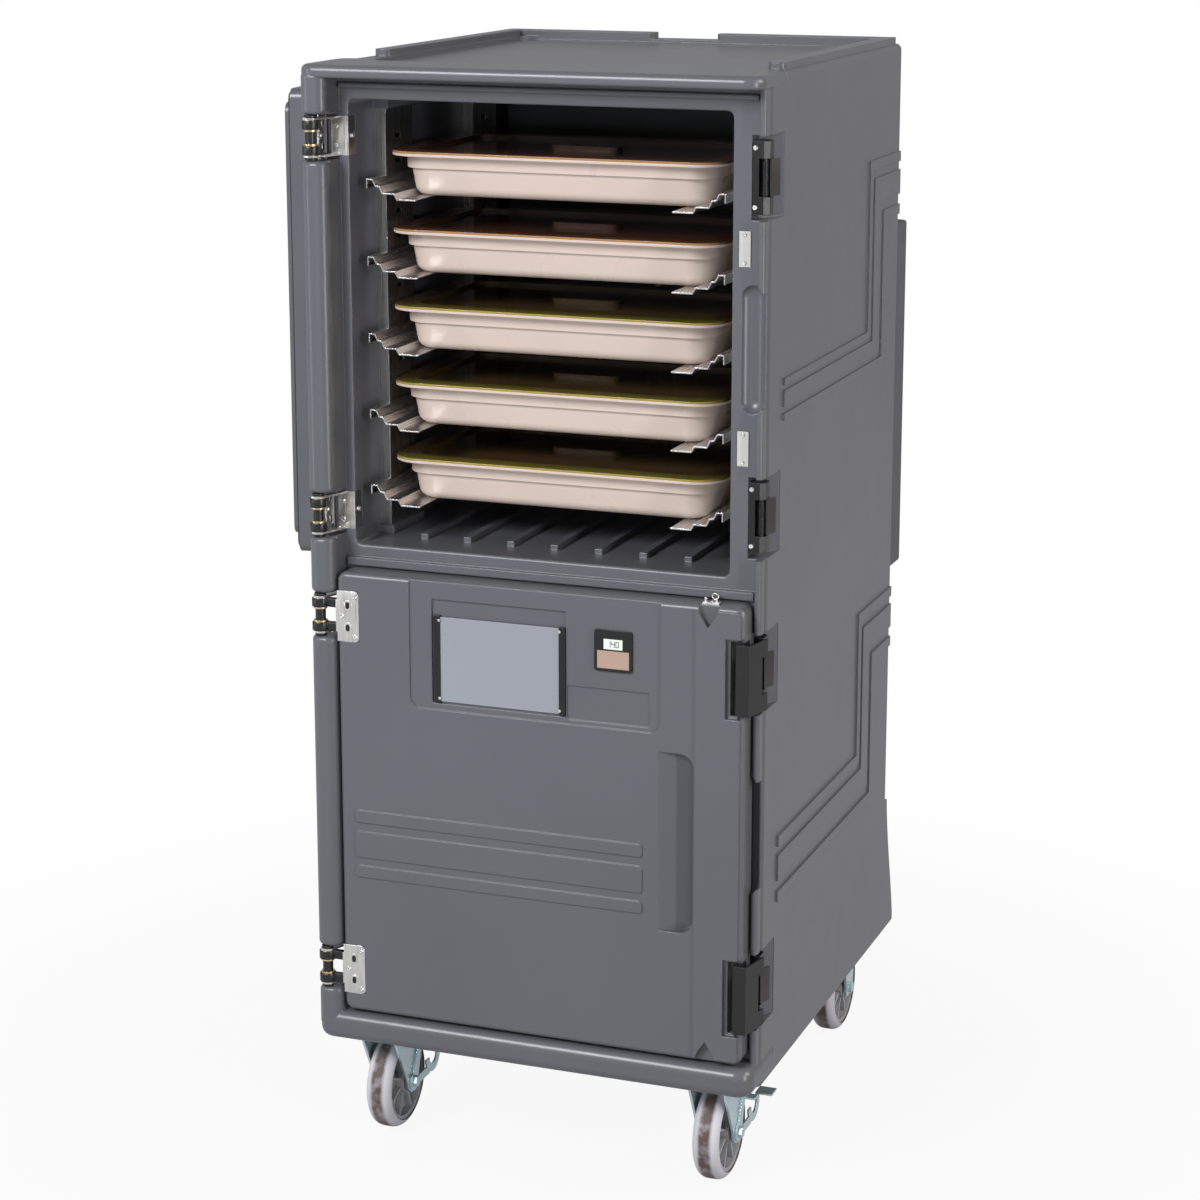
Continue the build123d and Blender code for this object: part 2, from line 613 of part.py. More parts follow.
def make_pan():
    step = pan_height * 0.69
    low = tapered(pan_length - 62, pan_width - 62, 0, step, 10, 34)
    low = fillet(low.edges().group_by(Axis.Z)[0], 16)
    band = tapered(pan_length - 37, pan_width - 37, step - 3, pan_height - 2, 3, 42)
    rim = plan_block(-pan_length / 2, pan_length / 2, -pan_width / 2, pan_width / 2, pan_height - 4,
                     pan_height, 48)
    inside = tapered(pan_length - 62 - 2 * pan_wall, pan_width - 62 - 2 * pan_wall, pan_wall, step + 1,
                     10, 31)
    inside = fillet(inside.edges().group_by(Axis.Z)[0], 13)
    inside += tapered(pan_length - 37 - 2 * pan_wall, pan_width - 37 - 2 * pan_wall, step, pan_height + 5,
                      3, 39)
    return low + band + rim - inside


def make_lid():
    lid = plan_block(-pan_length / 2, pan_length / 2, -pan_width / 2, pan_width / 2, pan_height,
                     pan_height + 3, 48)
    lid -= plan_block(-pan_length / 2 + 34, pan_length / 2 - 34, -pan_width / 2 + 34, pan_width / 2 - 34,
                      pan_height - 1, pan_height + 5, 24)
    tray = plan_block(-pan_length / 2 + 31, pan_length / 2 - 31, -pan_width / 2 + 31, pan_width / 2 - 31,
                      pan_height - 5, pan_height + 1, 27)
    tray -= plan_block(-pan_length / 2 + 34, pan_length / 2 - 34, -pan_width / 2 + 34, pan_width / 2 - 34,
                       pan_height - 2, pan_height + 5, 24)
    grip = plan_block(-55, 55, -17, 17, pan_height - 3, pan_height + 5, 14)
    return lid + tray + grip


pan = make_pan()
lid = make_lid()
pan_y = face_y + pan_front + pan_width / 2
for k in range(rail_levels):
    z = upper_floor + first_rail_z + k * rail_pitch - 28.5 + rail_sheet / 2 + 0.2
    nodes["pan_%d" % (k + 1)] = Pos(0, pan_y, z) * pan
    nodes["lid_%d" % (k + 1)] = Pos(0, pan_y, z + 0.2) * lid


# Casters, drawn with the wheel axle along x at the origin of the plan.
def make_wheel():
    hub = rod_x(-wheel_width / 2 + 1, wheel_width / 2 - 1, 0, wheel_radius, 19)
    web = rod_x(-6, 6, 0, wheel_radius, wheel_radius - 14)
    rim = rod_x(-wheel_width / 2 + 3, wheel_width / 2 - 3, 0, wheel_radius, wheel_radius - 12)
    rim -= rod_x(-wheel_width, wheel_width, 0, wheel_radius, wheel_radius - 19)
    return hub + web + rim - rod_x(-wheel_width, wheel_width, 0, wheel_radius, axle_radius + bore_clearance)


def make_tread():
    ring = rod_x(-wheel_width / 2, wheel_width / 2, 0, wheel_radius, wheel_radius)
    ring = fillet(ring.edges(), tread_crown)
    return ring - rod_x(-wheel_width, wheel_width, 0, wheel_radius, wheel_radius - 12)


def make_axle(reach):
    axle = rod_x(-leg_out, leg_out + reach, 0, wheel_radius, axle_radius)
    for x0 in (-leg_out - 5, leg_out + reach):
        axle += extrude(Plane.YZ.offset(x0) * Pos(0, wheel_radius) * RegularPolygon(axle_radius + 4.5, 6), 5)
    return axle


# Brake lever on the axle's right end: a hooked arm with a foot tab at the back and a short arm that frees it.
def make_lever():
    x0 = leg_out + lever_gap
    x1 = x0 + lever_sheet
    tip = 0.95 * wheel_radius
    hook = rod_x(x0, x1, tip, wheel_radius + 16, 27) - rod_x(x0 - 1, x1 + 1, tip, wheel_radius + 16, 14)
    hook -= block(x0 - 1, x1 + 1, tip - 30, tip + 30, wheel_radius + 16, wheel_radius + 50)
    lever = hook + rod_x(x0, x1, 0, wheel_radius, 15)
    lever += block(x0, x1, 0, tip - 14, wheel_radius - 10, wheel_radius + 4)
    lever += block(x0, x1, tip + 14, tip + 27, wheel_radius + 15, wheel_radius + 29)
    lever += block(x0, x0 + 27, tip + 14, tip + 40, wheel_radius + 26, wheel_radius + 29)
    release = [(-9, wheel_radius + 6), (13, wheel_radius + 4), (32, wheel_radius + 64),
               (20, wheel_radius + 66)]
    lever += side_prism(release, x0, x1)
    lever += block(x0, x0 + 21, 17, 34, wheel_radius + 47, wheel_radius + 50)
    return lever - rod_x(x0 - 1, x1 + 1, 0, wheel_radius, axle_radius + bore_clearance)


leg_in = wheel_width / 2 + 4
leg_out = leg_in + 4
fork_top = plate_z - 14
swivel_y = -caster_trail
axle_hole = rod_x(-leg_out - 9, leg_out + 9, 0, wheel_radius, axle_radius + bore_clearance)
wheel = make_wheel()
tread = make_tread()
axle = make_axle(0)
front_axle = make_axle(2 * lever_gap + lever_sheet)
lever = make_lever()

# Swivel fork: the wheel trails behind the swivel pin, between two tapered legs.
front_leg = [(-17, wheel_radius - 8), (-8, wheel_radius - 17), (10, wheel_radius - 17),
             (20, wheel_radius - 8), (22, wheel_radius + 10), (swivel_y + 54, fork_top),
             (swivel_y - 34, fork_top), (-20, wheel_radius + 6)]
front_fork = rod_z(0, swivel_y, fork_top - 6, plate_z - 13.5, 36)
front_fork += block(-leg_out, leg_out, swivel_y - 34, swivel_y + 54, fork_top - 6, fork_top)
for x0 in (-leg_out, leg_in):
    front_fork += side_prism(front_leg, x0, x0 + 4)
front_fork += rod_z(0, swivel_y, fork_top, plate_z - 6, 8)
front_fork -= axle_hole
plate = plan_block(-50, 50, swivel_y - 58, swivel_y + 58, plate_z - 5, plate_z, 6)
plate += rod_z(0, swivel_y, plate_z - 13, plate_z - 5, 32)
plate -= rod_z(0, swivel_y, plate_z - 20, plate_z - 5.5, 8 + bore_clearance)
rear_leg = [(-18, wheel_radius - 12), (18, wheel_radius - 12), (30, plate_z - 5), (-30, plate_z - 5)]
rear_fork = plan_block(-50, 50, -58, 58, plate_z - 5, plate_z, 6)
for x0 in (-leg_out, leg_in):
    rear_fork += side_prism(rear_leg, x0, x0 + 4)
rear_fork -= axle_hole

plates = []
rear_forks = []
rear_axles = []
for side, x in (("left", -caster_x), ("right", caster_x)):
    front = Pos(x, front_wheel_y, 0)
    rear = Pos(x, rear_wheel_y, 0)
    plates.append(front * plate)
    rear_forks.append(rear * rear_fork)
    rear_axles.append(rear * axle)
    nodes["front_fork_" + side] = front * front_fork
    nodes["front_axle_" + side] = front * front_axle
    nodes["brake_pedal_" + side] = front * lever
    for end, place in (("front", front), ("rear", rear)):
        nodes["%s_wheel_%s" % (end, side)] = place * wheel
        nodes["%s_tread_%s" % (end, side)] = place * tread
nodes["caster_plates"] = group(plates)
nodes["rear_forks"] = group(rear_forks)
nodes["rear_axles"] = group(rear_axles)

# Everything is moved so that the origin is under the middle of the whole cart.
boxes = [shape.bounding_box() for shape in nodes.values()]
middle_x = (min(b.min.X for b in boxes) + max(b.max.X for b in boxes)) / 2
middle_y = (min(b.min.Y for b in boxes) + max(b.max.Y for b in boxes)) / 2
lowest = min(b.min.Z for b in boxes)
os.makedirs("parts", exist_ok=True)
for name, shape in nodes.items():
    export_step(Pos(-middle_x, -middle_y, -lowest) * shape, "parts/" + name + ".step")
print("origin", round(middle_x, 4), round(middle_y, 4), round(lowest, 4), "nodes", len(nodes))
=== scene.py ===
import bmesh
import bpy
from math import cos, pi, radians, sin
from mathutils import Matrix, Vector


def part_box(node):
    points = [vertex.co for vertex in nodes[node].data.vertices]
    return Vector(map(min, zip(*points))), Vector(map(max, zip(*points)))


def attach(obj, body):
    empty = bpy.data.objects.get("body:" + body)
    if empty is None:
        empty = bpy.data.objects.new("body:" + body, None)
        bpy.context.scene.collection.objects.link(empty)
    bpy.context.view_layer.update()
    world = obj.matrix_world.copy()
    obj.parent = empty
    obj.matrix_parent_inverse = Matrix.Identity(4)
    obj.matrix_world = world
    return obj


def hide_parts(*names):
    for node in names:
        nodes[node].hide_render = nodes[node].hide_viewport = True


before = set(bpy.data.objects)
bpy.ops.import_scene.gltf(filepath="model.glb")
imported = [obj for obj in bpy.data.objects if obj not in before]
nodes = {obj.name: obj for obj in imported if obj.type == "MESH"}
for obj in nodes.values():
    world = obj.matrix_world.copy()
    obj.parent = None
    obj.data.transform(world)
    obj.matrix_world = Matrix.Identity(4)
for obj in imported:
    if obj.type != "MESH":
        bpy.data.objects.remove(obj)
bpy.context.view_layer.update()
print("frame loaded, pieces:", len(nodes))

# The cart's main places in millimetres, about its own middle line and above the floor
cart = {
    "pin": (-338.0, -375.0), "openAngle": 262.0, "halfDepth": 386.0, "faceY": -331.0,
    "doorFront": -378.0, "doorLeft": -309.0, "doorLevels": {"lower": 580.0, "upper": 1300.0},
    "hingeOffset": 283.0, "latchOffset": 245.0, "strikeOffset": 144.0,
}
bodyLow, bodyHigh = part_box("cabinet_body")
shiftX = (bodyLow.x + bodyHigh.x) / 2  # where the cart's middle lies in this frame
shiftY = bodyLow.y + cart["halfDepth"] / 1000


def at(x, y, z):  # the cart's millimetres to metres here
    return Vector((x / 1000 + shiftX, y / 1000 + shiftY, z / 1000))


def rgb(r, g, b):  # screen colour to linear
    def linear(c):
        return ((c / 255 + 0.055) / 1.055) ** 2.4 if c > 10 else c / 3294
    return linear(r), linear(g), linear(b), 1.0


hinges = {d: [z - cart["hingeOffset"], z + cart["hingeOffset"]] for d, z in cart["doorLevels"].items()}
latches = {d: [z - cart["latchOffset"], z + cart["latchOffset"]] for d, z in cart["doorLevels"].items()}
pinPlace = at(*cart["pin"], 0)
turnUpper = (Matrix.Translation(pinPlace) @ Matrix.Rotation(radians(-cart["openAngle"]), 4, "Z")
             @ Matrix.Translation(-pinPlace))
doorPlace = {"lower": Matrix.Identity(4), "upper": turnUpper}
doors = ("lower", "upper")
ends = ("front", "rear")
sides = ("left", "right")
up = Vector((0, 0, 1))
front = Vector((0, -1, 0))
backward = Vector((0, 1, 0))
rightward = Vector((1, 0, 0))


# Materials

def newMaterial(name):
    mat = bpy.data.materials.new(name)
    mat.use_nodes = True
    tree = mat.node_tree
    tree.nodes.clear()
    out = tree.nodes.new("ShaderNodeOutputMaterial")
    shader = tree.nodes.new("ShaderNodeBsdfPrincipled")
    tree.links.new(shader.outputs["BSDF"], out.inputs["Surface"])
    return mat, tree, shader


def addNode(tree, kind, **values):
    node = tree.nodes.new(kind)
    for key, value in values.items():
        if key in node.inputs:
            node.inputs[key].default_value = value
        else:
            setattr(node, key, value)
    return node


def objectCoords(tree, scale=(1, 1, 1)):
    coord = addNode(tree, "ShaderNodeTexCoord")
    mapping = addNode(tree, "ShaderNodeMapping")
    mapping.inputs["Scale"].default_value = scale
    tree.links.new(coord.outputs["Object"], mapping.inputs["Vector"])
    return mapping.outputs["Vector"]


def axisOf(tree, vector, axis):
    split = addNode(tree, "ShaderNodeSeparateXYZ")
    tree.links.new(vector, split.inputs["Vector"])
    return split.outputs[axis]


def noise(tree, vector, scale, detail=3.0, rough=0.55):
    node = addNode(tree, "ShaderNodeTexNoise", Scale=scale, Detail=detail, Roughness=rough)
    tree.links.new(vector, node.inputs["Vector"])
    return node.outputs["Fac"]


def ramp(tree, source, stops):
    node = addNode(tree, "ShaderNodeValToRGB")
    band = node.color_ramp
    while len(band.elements) < len(stops):
        band.elements.new(0.5)
    for element, (place, colour) in zip(band.elements, stops):
        element.position = place
        element.color = colour
    tree.links.new(source, node.inputs["Fac"])
    return node.outputs["Color"]


def spread(tree, source, low, high, fromLow=0.3, fromHigh=0.7):
    node = addNode(tree, "ShaderNodeMapRange")
    node.inputs["From Min"].default_value = fromLow
    node.inputs["From Max"].default_value = fromHigh
    node.inputs["To Min"].default_value = low
    node.inputs["To Max"].default_value = high
    tree.links.new(source, node.inputs["Value"])
    return node.outputs["Result"]


def roundedBump(tree, shader, height, strength, distance, edge):  # edge: radius of the softened corners
    bump = addNode(tree, "ShaderNodeBump", Strength=strength, Distance=distance)
    tree.links.new(height, bump.inputs["Height"])
    if edge:
        bevel = addNode(tree, "ShaderNodeBevel", samples=6, Radius=edge)
        tree.links.new(bevel.outputs["Normal"], bump.inputs["Normal"])
    tree.links.new(bump.outputs["Normal"], shader.inputs["Normal"])


plastic = {"patchScale": 3.0, "patchDetail": 5.0, "sheenScale": 18.0, "grainDepth": 0.0004}


def mouldedPlastic(name, dark, light, rough, edge, grain, strength, coat=0.0, wander=0.03, gloss=0.5):
    mat, tree, shader = newMaterial(name)
    flat = objectCoords(tree)
    patches = noise(tree, flat, plastic["patchScale"], plastic["patchDetail"])
    tree.links.new(ramp(tree, patches, [(0.3, dark), (0.7, light)]), shader.inputs["Base Color"])
    sheen = noise(tree, flat, plastic["sheenScale"], 1.0)
    tree.links.new(spread(tree, sheen, rough - wander, rough + wander), shader.inputs["Roughness"])
    roundedBump(tree, shader, noise(tree, flat, grain, 2.0), strength, plastic["grainDepth"], edge)
    shader.inputs["Coat Weight"].default_value = coat
    shader.inputs["Specular IOR Level"].default_value = gloss
    return mat


metal = {"detail": 4.0, "smoother": 0.06, "rougher": 0.08, "bump": 0.08, "depth": 0.0002}


def brushedMetal(name, dark, light, rough, stretch, edge=0.0006, share=1.0):
    mat, tree, shader = newMaterial(name)
    streaks = noise(tree, objectCoords(tree, stretch), 1.0, metal["detail"])
    tree.links.new(ramp(tree, streaks, [(0.3, dark), (0.7, light)]), shader.inputs["Base Color"])
    tree.links.new(spread(tree, streaks, rough - metal["smoother"], rough + metal["rougher"]),
                   shader.inputs["Roughness"])
    shader.inputs["Metallic"].default_value = share
    roundedBump(tree, shader, streaks, metal["bump"], metal["depth"], edge)
    return mat


# the first two distances bound the band at the lid's front where paler colour is painted as light coming
# through the sheet
lid = {
    "front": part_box("lid_1")[0].y, "paintedLightFrom": 0.006, "paintedLightTo": 0.045, "slopeFrom": 0.6, "slopeTo": 0.96,
    "smears": 14.0, "rough": 0.09, "smoother": 0.02, "rougher": 0.05, "clear": 0.45, "bend": 1.45,
    "grain": 300.0, "bump": 0.03, "depth": 0.0003, "edge": 0.001,
}
mixSockets = {"first": 6, "second": 7, "result": 2}  # a Mix node's colour sockets, by their place


def amberLid(name, top, paintedRimLight, edge):  # dark glossy sheet, paler over the pan's front rim and at its edges; the paler colours are painted light, for light coming through the sheet there
    mat, tree, shader = newMaterial(name)
    flat = objectCoords(tree)
    smears = noise(tree, flat, lid["smears"], 4.0)
    back = spread(tree, axisOf(tree, flat, "Y"), 0.0, 1.0, lid["front"] + lid["paintedLightFrom"],
                  lid["front"] + lid["paintedLightTo"])
    geometry = addNode(tree, "ShaderNodeNewGeometry")
    flatness = spread(tree, axisOf(tree, geometry.outputs["Normal"], "Z"), 0.0, 1.0, lid["slopeFrom"],
                      lid["slopeTo"])
    mix = addNode(tree, "ShaderNodeMix", data_type="RGBA")
    tree.links.new(flatness, mix.inputs["Factor"])
    # painted light: near the front, sloped faces take the paler edge colour and flat faces the paler rim
    # colour
    tree.links.new(ramp(tree, back, [(0.0, edge), (0.9, top)]), mix.inputs[mixSockets["first"]])
    tree.links.new(ramp(tree, back, [(0.0, paintedRimLight), (1.0, top)]), mix.inputs[mixSockets["second"]])
    tree.links.new(mix.outputs[mixSockets["result"]], shader.inputs["Base Color"])
    tree.links.new(spread(tree, smears, lid["rough"] - lid["smoother"], lid["rough"] + lid["rougher"]),
                   shader.inputs["Roughness"])
    shader.inputs["Transmission Weight"].default_value = lid["clear"]
    shader.inputs["IOR"].default_value = lid["bend"]
    roundedBump(tree, shader, noise(tree, flat, lid["grain"]), lid["bump"], lid["depth"], lid["edge"])
    return mat


tread = {"scuffs": 60.0, "crownFrom": 0.05, "crownTo": 0.45, "rough": 0.62, "bump": 0.25, "depth": 0.0006}


# Pale flanks and a scuffed brown crown, told apart by the wheel's own normal
def wornTread(name, side, crown):
    mat, tree, shader = newMaterial(name)
    scuffs = noise(tree, objectCoords(tree), tread["scuffs"], 6.0)
    coord = addNode(tree, "ShaderNodeTexCoord")
    sideways = addNode(tree, "ShaderNodeMath", operation="ABSOLUTE")
    tree.links.new(axisOf(tree, coord.outputs["Normal"], "X"), sideways.inputs[0])
    worn = addNode(tree, "ShaderNodeMath", operation="MULTIPLY")
    tree.links.new(spread(tree, sideways.outputs[0], 1.0, 0.0, tread["crownFrom"], tread["crownTo"]),
                   worn.inputs[0])
    tree.links.new(spread(tree, scuffs, 0.5, 1.0), worn.inputs[1])
    tree.links.new(ramp(tree, worn.outputs[0], [(0.1, side), (0.8, crown)]), shader.inputs["Base Color"])
    shader.inputs["Roughness"].default_value = tread["rough"]
    roundedBump(tree, shader, scuffs, tread["bump"], tread["depth"], 0.0)
    return mat


bodyGrey = mouldedPlastic("bodyGrey", rgb(80, 80, 85), rgb(84, 84, 89), rough=0.3, edge=0.0028, grain=420.0,
                          strength=0.008, wander=0.01, gloss=0.42)
hingeBlack = mouldedPlastic("hingeBlack", rgb(15, 15, 17), rgb(22, 22, 24), rough=0.34, edge=0.0012,
                            grain=1500.0, strength=0.06)
catchBlack = mouldedPlastic("catchBlack", rgb(10, 10, 11), rgb(17, 17, 18), rough=0.32, edge=0.001,
                            grain=1500.0, strength=0.15)
latchGrey = mouldedPlastic("latchGrey", rgb(12, 10, 11), rgb(17, 15, 16), rough=0.46, edge=0.001,
                           grain=1200.0, strength=0.06)
tongueTaupe = mouldedPlastic("tongueTaupe", rgb(34, 31, 30), rgb(42, 39, 38), rough=0.4, edge=0.001,
                             grain=1200.0, strength=0.06)
gasketBlack = mouldedPlastic("gasketBlack", rgb(26, 26, 27), rgb(38, 38, 38), rough=0.6, edge=0.002,
                             grain=700.0, strength=0.2)
panBeige = mouldedPlastic("panBeige", rgb(176, 160, 150), rgb(184, 168, 158), rough=0.3, edge=0.0015,
                          grain=600.0, strength=0.03)
cardFilm = mouldedPlastic("cardFilm", rgb(126, 129, 137), rgb(130, 133, 141), rough=0.26, edge=0.0006,
                          grain=1600.0, strength=0.02, wander=0.005)
wheelGrey = mouldedPlastic("wheelGrey", rgb(133, 133, 136), rgb(154, 154, 157), rough=0.5, edge=0.0015,
                           grain=900.0, strength=0.2)
heaterGrey = mouldedPlastic("heaterGrey", rgb(60, 61, 65), rgb(72, 73, 77), rough=0.5, edge=0.002,
                            grain=800.0, strength=0.35)
screenBlack = mouldedPlastic("screenBlack", rgb(20, 21, 23), rgb(27, 28, 30), rough=0.16, edge=0.0006,
                             grain=900.0, strength=0.02, coat=0.3)
screenPale = mouldedPlastic("screenPale", rgb(196, 204, 196), rgb(208, 214, 206), rough=0.2, edge=0.0,
                            grain=900.0, strength=0.01)
strikeZinc = mouldedPlastic("strikeZinc", rgb(164, 162, 159), rgb(172, 170, 167), rough=0.34, edge=0.0008,
                            grain=900.0, strength=0.02)
labelBeige = mouldedPlastic("labelBeige", rgb(150, 126, 113), rgb(160, 135, 121), rough=0.4, edge=0.0004,
                            grain=1200.0, strength=0.05)
railSteel = brushedMetal("railSteel", (0.56, 0.55, 0.54, 1), (0.76, 0.75, 0.74, 1), 0.26, (900, 14, 900))
uprightSteel = brushedMetal("uprightSteel", (0.60, 0.59, 0.57, 1), (0.76, 0.75, 0.73, 1), 0.3,
                            (700, 700, 8))
plateSteel = brushedMetal("plateSteel", (0.64, 0.63, 0.62, 1), (0.80, 0.79, 0.77, 1), 0.3, (500, 500, 20))
zincBlue = brushedMetal("zincBlue", (0.56, 0.69, 0.73, 1), (0.66, 0.79, 0.83, 1), 0.26, (14, 14, 14),
                        edge=0.001, share=0.85)
washerBrass = brushedMetal("washerBrass", (0.62, 0.46, 0.24, 1), (0.82, 0.66, 0.40, 1), 0.3,
                           (300, 300, 900))
# each lid's last two colours are painted light, paler where light comes through the sheet at its front
lidBrown = amberLid("lidBrown", rgb(92, 58, 43), rgb(122, 85, 59), rgb(188, 140, 92))
lidOlive = amberLid("lidOlive", rgb(92, 71, 42), rgb(134, 129, 52), rgb(182, 157, 74))
treadGrey = wornTread("treadGrey", rgb(176, 174, 180), rgb(72, 58, 52))


def dress(material, *names):
    for name in names:
        mesh = nodes[name].data
        mesh.materials.clear()
        mesh.materials.append(material)


dress(bodyGrey, "cabinet_body", "lower_door_panel", "upper_door_panel")
dress(uprightSteel, "uprights")
dress(railSteel, "rails_left", "rails_right", "fan_wheel", "heating_element")
dress(plateSteel, "hinge_brackets", "mount_screws", "seal_clip")
dress(strikeZinc, "strike_plates")
dress(hingeBlack, "hinge_pins", "lower_door_leaves", "upper_door_leaves", "power_switch")
dress(catchBlack, "catches", "card_channels", "thermometer_case", "power_inlet", "fan_motor")
dress(latchGrey, *["%s_latch_%s" % (d, e) for d in doors for e in ("bottom", "top")])
dress(gasketBlack, "lower_door_gasket", "upper_door_gasket")
# the air baffle takes this dark grey as painted shade, for the dim back of the compartment
dress(heaterGrey, "heater_housing", "air_baffle")
dress(screenBlack, "control_display")
dress(labelBeige, "thermometer_display")
dress(cardFilm, "card_panel")
dress(panBeige, *["pan_%d" % k for k in range(1, 6)])
dress(lidOlive, "lid_1", "lid_2", "lid_3")
dress(lidBrown, "lid_4", "lid_5")
dress(zincBlue, "caster_plates", "rear_forks", "front_fork_left", "front_fork_right", "brake_pedal_left",
      "brake_pedal_right", "front_axle_left", "front_axle_right", "rear_axles")
dress(wheelGrey, *["%s_wheel_%s" % (e, s) for e in ends for s in sides])
dress(treadGrey, *["%s_tread_%s" % (e, s) for e in ends for s in sides])
print("finishes set")


# Pieces

sharpAngle = 34  # faces that meet at more than this stay sharp


def placeMesh(name, mesh, material, body, sharp=sharpAngle):
    for face in mesh.polygons:
        face.use_smooth = True
    mesh.set_sharp_from_angle(angle=radians(sharp))
    mesh.materials.clear()
    mesh.materials.append(material)
    piece = bpy.data.objects.new(name, mesh)
    bpy.context.scene.collection.objects.link(piece)
    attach(piece, body)
    return piece


def newPiece(name, bm, material, body, matrix=None):
    if matrix is not None:
        bmesh.ops.transform(bm, matrix=matrix, verts=bm.verts)
    bmesh.ops.recalc_face_normals(bm, faces=bm.faces)
    mesh = bpy.data.meshes.new(name)
    bm.to_mesh(mesh)
    bm.free()
    return placeMesh(name, mesh, material, body)


def prism(bm, outline, low, high, upright=True, edge=0.0):  # outline in plan, or in the front view
    def corner(u, v, w):
        return at(u, v, w) if upright else at(u, w, v)
    first = [bm.verts.new(corner(u, v, low)) for u, v in outline]
    second = [bm.verts.new(corner(u, v, high)) for u, v in outline]
    count = len(outline)
    made = [bm.faces.new(first), bm.faces.new(list(reversed(second)))]
    for k in range(count):
        after = (k + 1) % count
        made.append(bm.faces.new([first[k], second[k], second[after], first[after]]))
    bmesh.ops.recalc_face_normals(bm, faces=made)
    if edge:
        rims = list(dict.fromkeys(e for f in made[:2] for e in f.edges))
        bmesh.ops.bevel(bm, geom=rims, offset=edge / 1000, segments=2, profile=0.5, affect="EDGES")


def onDoor(depth):  # a pair of depths counted from the door's front
    return [cart["doorFront"] + d for d in depth]


def arc(cx, cy, radius, start, end, steps):
    turns = [radians(start + (end - start) * k / steps) for k in range(steps + 1)]
    return [(cx + radius * cos(a), cy + radius * sin(a)) for a in turns]


def oval(cx, cz, width, height, steps=8):
    r = width / 2
    half = height / 2 - r
    return arc(cx, cz + half, r, 0, 180, steps) + arc(cx, cz - half, r, 180, 360, steps)


def panel(x0, z0, x1, z1):
    return [(x0, z0), (x1, z0), (x1, z1), (x0, z1)]


# Geometry node trees, each with named sizes

def newTree(name, sizes):
    tree = bpy.data.node_groups.new(name, "GeometryNodeTree")
    tree.interface.new_socket("Geometry", in_out="INPUT", socket_type="NodeSocketGeometry")
    for label, value in sizes.items():
        kind = "NodeSocketInt" if isinstance(value, int) else "NodeSocketFloat"
        tree.interface.new_socket(label, in_out="INPUT", socket_type=kind).default_value = value
    tree.interface.new_socket("Finish", in_out="INPUT", socket_type="NodeSocketMaterial")
    tree.interface.new_socket("Geometry", in_out="OUTPUT", socket_type="NodeSocketGeometry")
    return tree, tree.nodes.new("NodeGroupInput"), tree.nodes.new("NodeGroupOutput")


def feed(tree, start, node, pairs):  # the tree's named sizes into a node's sockets
    for label, socket in pairs.items():
        tree.links.new(start.outputs[label], node.inputs[socket])


def facingRotation(tree):
    facing = addNode(tree, "GeometryNodeInputNamedAttribute", data_type="FLOAT_VECTOR")
    facing.inputs["Name"].default_value = "facing"
    align = addNode(tree, "FunctionNodeAlignRotationToVector", axis="Z")
    tree.links.new(facing.outputs["Attribute"], align.inputs["Vector"])
    return align.outputs["Rotation"]


def shareOf(tree, socket, factor):
    node = addNode(tree, "ShaderNodeMath", operation="MULTIPLY")
    node.inputs[1].default_value = factor
    tree.links.new(socket, node.inputs[0])
    return node.outputs[0]


def endTree(tree, start, end, shape, turned=True):  # one shape on each point, realized and painted
    place = tree.nodes.new("GeometryNodeInstanceOnPoints")
    tree.links.new(start.outputs["Geometry"], place.inputs["Points"])
    tree.links.new(shape, place.inputs["Instance"])
    if turned:
        tree.links.new(facingRotation(tree), place.inputs["Rotation"])
    real = tree.nodes.new("GeometryNodeRealizeInstances")
    paint = tree.nodes.new("GeometryNodeSetMaterial")
    tree.links.new(place.outputs["Instances"], real.inputs[0])
    tree.links.new(real.outputs[0], paint.inputs["Geometry"])
    tree.links.new(start.outputs["Finish"], paint.inputs["Material"])
    tree.links.new(paint.outputs[0], end.inputs["Geometry"])
    return tree


screwHead = {"topShare": 0.74, "slotShare": 1.05}  # shares of the head's radius


def makeScrewTree():  # tapered heads with a cross recess
    sizes = {"Radius": 0.0035, "Height": 0.002, "Slot": 0.0009, "Sides": 24}
    tree, start, end = newTree("screwHeads", sizes)
    head = addNode(tree, "GeometryNodeMeshCone", fill_type="NGON")
    feed(tree, start, head, {"Sides": "Vertices", "Radius": "Radius Bottom", "Height": "Depth"})
    tree.links.new(shareOf(tree, start.outputs["Radius"], screwHead["topShare"]), head.inputs["Radius Top"])
    carve = addNode(tree, "GeometryNodeMeshBoolean", operation="DIFFERENCE")
    tree.links.new(head.outputs["Mesh"], carve.inputs["Mesh 1"])
    for turn in (0, 1):
        cutter = tree.nodes.new("GeometryNodeMeshCube")
        size = tree.nodes.new("ShaderNodeCombineXYZ")
        length = shareOf(tree, start.outputs["Radius"], screwHead["slotShare"])
        tree.links.new(length, size.inputs[turn])
        feed(tree, start, size, {"Slot": 1 - turn, "Height": 2})
        tree.links.new(size.outputs[0], cutter.inputs["Size"])
        lift = tree.nodes.new("GeometryNodeTransform")
        raised = tree.nodes.new("ShaderNodeCombineXYZ")
        feed(tree, start, raised, {"Height": 2})
        tree.links.new(cutter.outputs["Mesh"], lift.inputs["Geometry"])
        tree.links.new(raised.outputs[0], lift.inputs["Translation"])
        tree.links.new(lift.outputs[0], carve.inputs["Mesh 2"])
    return endTree(tree, start, end, carve.outputs["Mesh"])


def makeRingTree():  # turned rings: sleeves, washers, rivets
    tree, start, end = newTree("turnedRings", {"Radius": 0.0105, "Height": 0.003, "Sides": 40})
    ring = addNode(tree, "GeometryNodeMeshCylinder", fill_type="NGON")
    feed(tree, start, ring, {"Sides": "Vertices", "Radius": "Radius", "Height": "Depth"})
    return endTree(tree, start, end, ring.outputs["Mesh"])


